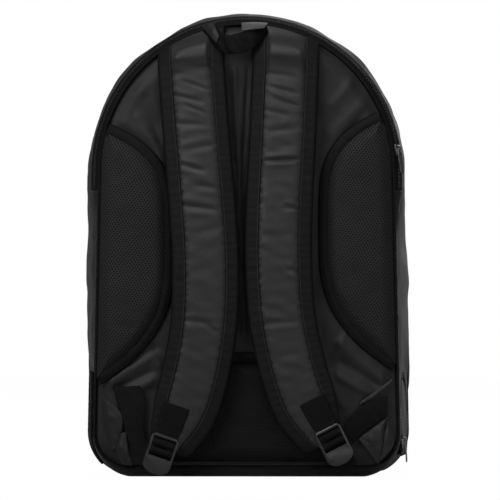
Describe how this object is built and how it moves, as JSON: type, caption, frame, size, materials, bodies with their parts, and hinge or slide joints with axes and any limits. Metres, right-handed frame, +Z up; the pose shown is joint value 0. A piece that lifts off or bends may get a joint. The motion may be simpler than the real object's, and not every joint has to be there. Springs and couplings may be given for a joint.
{
  "type": "racket backpack",
  "caption": "Arch-topped fabric backpack with padded back, curved shoulder straps, zipped racket, shoe and main compartments and a front pocket.",
  "frame": {"origin": "centre of the footprint, on the surface the pack stands on", "axes": "+Z up, -Y out of the padded back that is worn against the body, +Y out of the front, -X on the left of someone looking at the harness side"},
  "size_m": [0.335, 0.2548, 0.479],
  "materials": {
    "nylon": "satin woven nylon",
    "mesh": "air mesh over foam",
    "webbing": "ribbed tape",
    "lining": "plain lining",
    "foam": "closed-cell foam",
    "board": "stiff sheet",
    "plastic": "moulded plastic",
    "zip_metal": "dark plated"
  },
  "bodies": {
    "pack": {"back_panel": "nylon", "back_frame_sheet": "board", "back_piping": "webbing", "main_zip": "webbing", "back_gusset_strip": "nylon", "body_gusset": "nylon", "base_board": "board", "shoe_shelf": "lining", "racket_divider": "lining", "laptop_sleeve": "lining", "lower_front_panel": "nylon", "racket_zip": "webbing", "front_pocket": "nylon", "pocket_zip": "webbing", "shoe_zip": "webbing", "shoe_vent": "mesh", "left_side_pad": "mesh", "right_side_pad": "mesh", "left_pad_binding": "webbing", "right_pad_binding": "webbing", "lumbar_pad": "mesh", "lumbar_binding": "webbing", "left_wing": "nylon", "right_wing": "nylon", "left_lower_webbing": "webbing", "right_lower_webbing": "webbing", "left_strap_yoke": "nylon", "right_strap_yoke": "nylon"},
    "grab_handle": {"grab_handle": "webbing", "grab_handle_grip": "nylon"},
    "left_strap": {"left_strap_foam": "foam", "left_strap_face": "nylon", "left_strap_lining": "mesh", "left_strap_binding": "webbing", "left_strap_loop": "webbing"},
    "left_buckle": {"left_buckle": "plastic", "left_webbing_tail": "webbing"},
    "right_strap": {"right_strap_foam": "foam", "right_strap_face": "nylon", "right_strap_lining": "mesh", "right_strap_binding": "webbing", "right_strap_loop": "webbing"},
    "right_buckle": {"right_buckle": "plastic", "right_webbing_tail": "webbing"},
    "racket_flap": {"racket_flap": "nylon"},
    "shoe_door": {"shoe_door": "nylon"},
    "main_slider": {"main_zip_slider": "zip_metal"},
    "main_puller": {"main_zip_puller": "zip_metal"},
    "racket_slider": {"racket_zip_slider": "zip_metal"},
    "racket_puller": {"racket_zip_puller": "zip_metal"},
    "shoe_slider": {"shoe_zip_slider": "zip_metal"},
    "shoe_puller": {"shoe_zip_puller": "zip_metal"},
    "pocket_slider": {"pocket_zip_slider": "zip_metal"},
    "pocket_puller": {"pocket_zip_puller": "zip_metal"}
  },
  "joints": [
    {"name": "grab_handle_lift", "type": "hinge", "parent": "pack", "child": "grab_handle", "pos_m": [-0.008, -0.08677, 0.4665], "axis": [-1, 0, 0], "range_deg": [0, 95]},
    {"name": "left_strap_swing", "type": "hinge", "parent": "pack", "child": "left_strap", "pos_m": [-0.057, -0.09507, 0.425], "axis": [-1, 0, 0], "range_deg": [0, 25]},
    {"name": "right_strap_swing", "type": "hinge", "parent": "pack", "child": "right_strap", "pos_m": [0.041, -0.09507, 0.425], "axis": [-1, 0, 0], "range_deg": [0, 25]},
    {"name": "left_buckle_tilt", "type": "hinge", "parent": "left_strap", "child": "left_buckle", "pos_m": [-0.0843, -0.12357, 0.0359], "axis": [-0.9455, 0, 0.3256], "range_deg": [0, 8]},
    {"name": "right_buckle_tilt", "type": "hinge", "parent": "right_strap", "child": "right_buckle", "pos_m": [0.0865, -0.12357, 0.0445], "axis": [-0.891, 0, -0.454], "range_deg": [0, 8]},
    {"name": "main_zip_travel", "type": "hinge", "parent": "pack", "child": "main_slider", "pos_m": [0, -0.07548, 0.317], "axis": [0, -1, 0], "range_deg": [-8, 172]},
    {"name": "main_puller_swing", "type": "hinge", "parent": "main_slider", "child": "main_puller", "pos_m": [0.15795, -0.07777, 0.34031], "axis": [-0.5525, -0.8299, -0.0776], "range_deg": [0, 150]},
    {"name": "racket_zip_travel", "type": "hinge", "parent": "pack", "child": "racket_slider", "pos_m": [0, 0.09862, 0.317], "axis": [0, -1, 0], "range_deg": [-8, 172]},
    {"name": "racket_puller_swing", "type": "hinge", "parent": "racket_slider", "child": "racket_puller", "pos_m": [0.14338, 0.10257, 0.33826], "axis": [0.9532, -0.2709, 0.134], "range_deg": [0, 150]},
    {"name": "racket_flap_fold", "type": "hinge", "parent": "pack", "child": "racket_flap", "pos_m": [0, 0.10343, 0.294], "axis": [-1, 0, 0], "range_deg": [0, 95]},
    {"name": "pocket_zip_travel", "type": "slide", "parent": "pack", "child": "pocket_slider", "axis": [-1, 0, 0], "range_m": [0, 0.156]},
    {"name": "pocket_puller_swing", "type": "hinge", "parent": "pocket_slider", "child": "pocket_puller", "pos_m": [0.078, 0.12533, 0.2131], "axis": [1, 0, 0], "range_deg": [0, 150]},
    {"name": "shoe_zip_travel", "type": "hinge", "parent": "pack", "child": "shoe_slider", "pos_m": [0.16296, -0.01507, 0.06], "axis": [-0.9963, 0.0836, -0.0201], "range_deg": [0, 244]},
    {"name": "shoe_puller_swing", "type": "hinge", "parent": "shoe_slider", "child": "shoe_puller", "pos_m": [0.16466, -0.05409, 0.03718], "axis": [-0.0603, -0.846, -0.5298], "range_deg": [0, 90]},
    {"name": "shoe_door_fold", "type": "hinge", "parent": "pack", "child": "shoe_door", "pos_m": [0.16326, -0.01509, 0.025], "axis": [0.0836, 0.9965, 0], "range_deg": [0, 85]}
  ]
}
